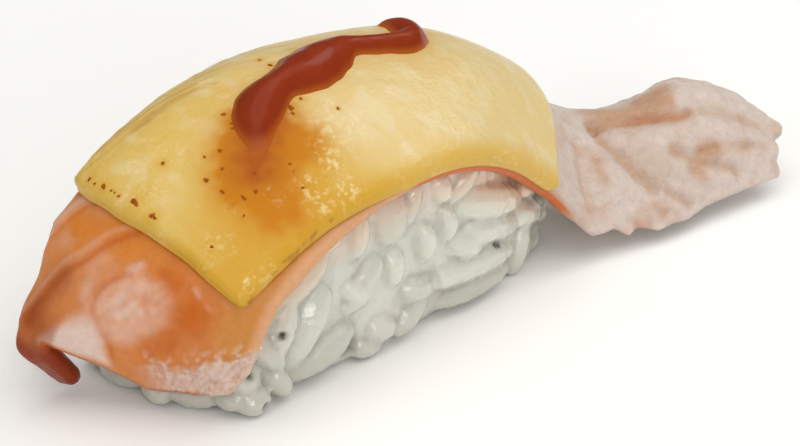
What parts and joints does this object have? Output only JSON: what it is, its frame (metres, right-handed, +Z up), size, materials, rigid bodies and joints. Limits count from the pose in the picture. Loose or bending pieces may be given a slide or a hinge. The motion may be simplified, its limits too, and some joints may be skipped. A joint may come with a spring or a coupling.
{
  "type": "salmon nigiri with melted cheese",
  "caption": "Hand-pressed rice block under a long draped salmon slice with a melted cheese strip, a sauce stripe and a seared tail.",
  "frame": {"origin": "middle of the footprint of the whole piece, on the table that the rice stands on", "axes": "+Z up, +X along the rice block from the end where the salmon hangs down towards the tail, -Y towards the long side that the tail leans to"},
  "size_m": [0.1106, 0.0342, 0.0359],
  "materials": {
    "rice": "moist, translucent cooked rice",
    "salmon": "raw salmon, moist; pale and seared at the tail",
    "cheese": "melted cheese, glossy, with scorched specks",
    "sauce": "thick glossy brown sauce"
  },
  "bodies": {
    "root": {"rice": "rice", "salmon": "salmon", "cheese": "cheese"}
  },
  "joints": []
}
